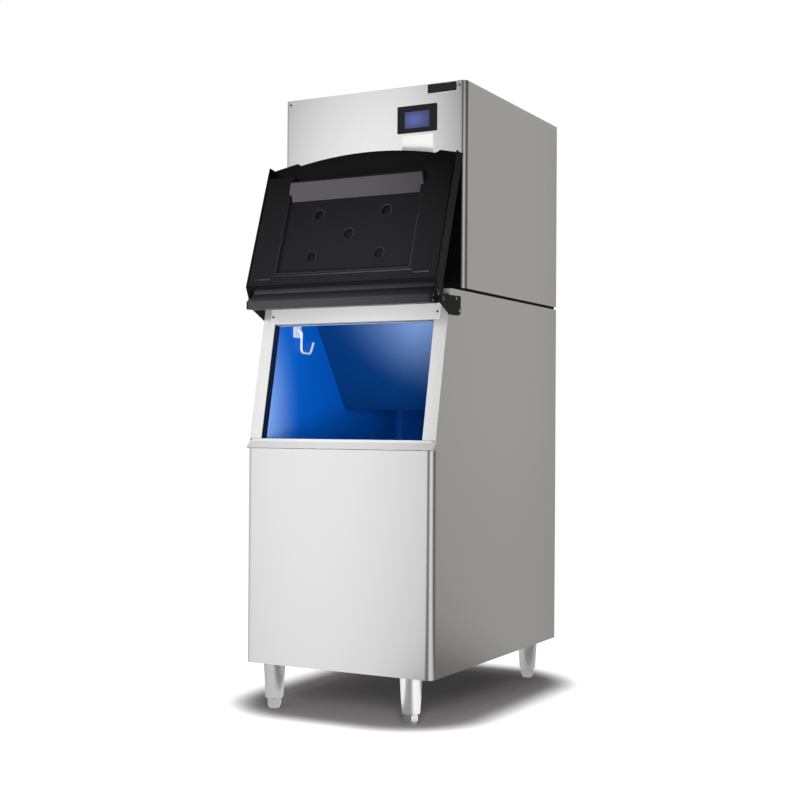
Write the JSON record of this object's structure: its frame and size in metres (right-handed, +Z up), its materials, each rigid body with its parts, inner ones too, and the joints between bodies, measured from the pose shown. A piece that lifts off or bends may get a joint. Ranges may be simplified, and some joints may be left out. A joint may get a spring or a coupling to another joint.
{
  "type": "modular ice maker on storage bin",
  "caption": "Free-standing ice storage bin on four levelling legs, with a sloped front, a lift-up door on side brackets and a modular ice-maker head with a small display on top.",
  "frame": {"origin": "on the floor, under the middle of the machine", "axes": "+X to the right seen from the front, +Y to the back (the sloped front faces -Y), +Z up"},
  "size_m": [0.5796, 0.853, 1.666],
  "materials": {
    "bracket_black": "black powder coat",
    "clear_plastic": "clear",
    "copper": "copper",
    "door_black": "fine grain",
    "enamel_black": "black enamel",
    "fin_aluminium": "satin",
    "foam_yellow": "rigid foam",
    "galvanised": "dull zinc",
    "gasket_black": "matt",
    "liner_blue": "smooth moulded",
    "nickel": "nickel plated",
    "rail_anodised": "dark anodised",
    "screen_glass": "glossy",
    "stainless_bright": "fine satin, very light",
    "stainless_brushed": "satin",
    "steel_pin": "bright",
    "tube_clear": "clear",
    "valve_brass": "machined",
    "white_plastic": "smooth"
  },
  "bodies": {
    "cabinet": {"bin_floor_panel": "galvanised", "bin_foam": "foam_yellow", "bin_front_panel": "stainless_bright", "bin_liner": "liner_blue", "bin_rear_panel": "galvanised", "bin_side_left": "stainless_brushed", "bin_side_right": "stainless_brushed", "bin_top_deck": "galvanised", "cabinet_screws": "steel_pin", "compressor": "enamel_black", "compressor_grommets": "gasket_black", "condenser": "fin_aluminium", "display_bezel": "door_black", "display_screen": "screen_glass", "drain_fitting": "white_plastic", "evaporator": "nickel", "fan_motor": "enamel_black", "fan_shroud": "galvanised", "fill_tube": "tube_clear", "float_stem": "steel_pin", "frame_sill": "stainless_bright", "frame_strip_left": "stainless_bright", "frame_strip_right": "stainless_bright", "frame_strip_top": "stainless_bright", "head_floor_pan": "galvanised", "head_front_panel": "stainless_bright", "head_gasket": "gasket_black", "head_lid": "stainless_brushed", "head_partition": "galvanised", "head_rear_panel": "galvanised", "head_side_left": "stainless_brushed", "head_side_right": "stainless_brushed", "hinge_bracket_left": "bracket_black", "hinge_bracket_right": "bracket_black", "hinge_pins": "steel_pin", "ice_deflector": "white_plastic", "inlet_valve": "valve_brass", "leg_front_left": "stainless_brushed", "leg_front_right": "stainless_brushed", "leg_rear_left": "stainless_brushed", "leg_rear_right": "stainless_brushed", "pump_body": "door_black", "pump_hose": "gasket_black", "refrigerant_lines": "copper", "scoop_hook": "white_plastic", "water_distributor": "white_plastic", "water_trough": "white_plastic"},
    "door": {"door_shell": "door_black", "door_panel": "door_black", "door_rail": "rail_anodised", "rail_end_caps": "door_black", "rail_screws": "steel_pin"},
    "foot_front_left": {"foot_front_left": "steel_pin"},
    "foot_front_right": {"foot_front_right": "steel_pin"},
    "foot_rear_left": {"foot_rear_left": "steel_pin"},
    "foot_rear_right": {"foot_rear_right": "steel_pin"},
    "fan": {"fan_blade": "door_black"},
    "pump_impeller": {"pump_rotor": "door_black"},
    "curtain": {"water_curtain": "clear_plastic"},
    "float": {"level_float": "white_plastic"}
  },
  "joints": [
    {"name": "door_hinge", "type": "hinge", "parent": "cabinet", "child": "door", "pos_m": [0, -0.38, 1.078], "axis": [1, 0, 0], "range_deg": [0, 186.8]},
    {"name": "foot_front_left_screw", "type": "slide", "parent": "cabinet", "child": "foot_front_left", "axis": [0, 0, -1], "range_m": [0, 0.03]},
    {"name": "foot_front_right_screw", "type": "slide", "parent": "cabinet", "child": "foot_front_right", "axis": [0, 0, -1], "range_m": [0, 0.03]},
    {"name": "foot_rear_left_screw", "type": "slide", "parent": "cabinet", "child": "foot_rear_left", "axis": [0, 0, -1], "range_m": [0, 0.03]},
    {"name": "foot_rear_right_screw", "type": "slide", "parent": "cabinet", "child": "foot_rear_right", "axis": [0, 0, -1], "range_m": [0, 0.03]},
    {"name": "fan_spin", "type": "hinge", "parent": "cabinet", "child": "fan", "pos_m": [0.126, 0.314, 1.27], "axis": [0, -1, 0], "continuous": true},
    {"name": "pump_spin", "type": "hinge", "parent": "cabinet", "child": "pump_impeller", "pos_m": [0.224, 0.052, 1.2], "axis": [0, 0, 1], "continuous": true},
    {"name": "curtain_hinge", "type": "hinge", "parent": "cabinet", "child": "curtain", "pos_m": [-0.015, -0.038, 1.548], "axis": [-1, 0, 0], "range_deg": [0, 25]},
    {"name": "float_slide", "type": "slide", "parent": "cabinet", "child": "float", "axis": [0, 0, 1], "range_m": [0, 0.03]}
  ]
}
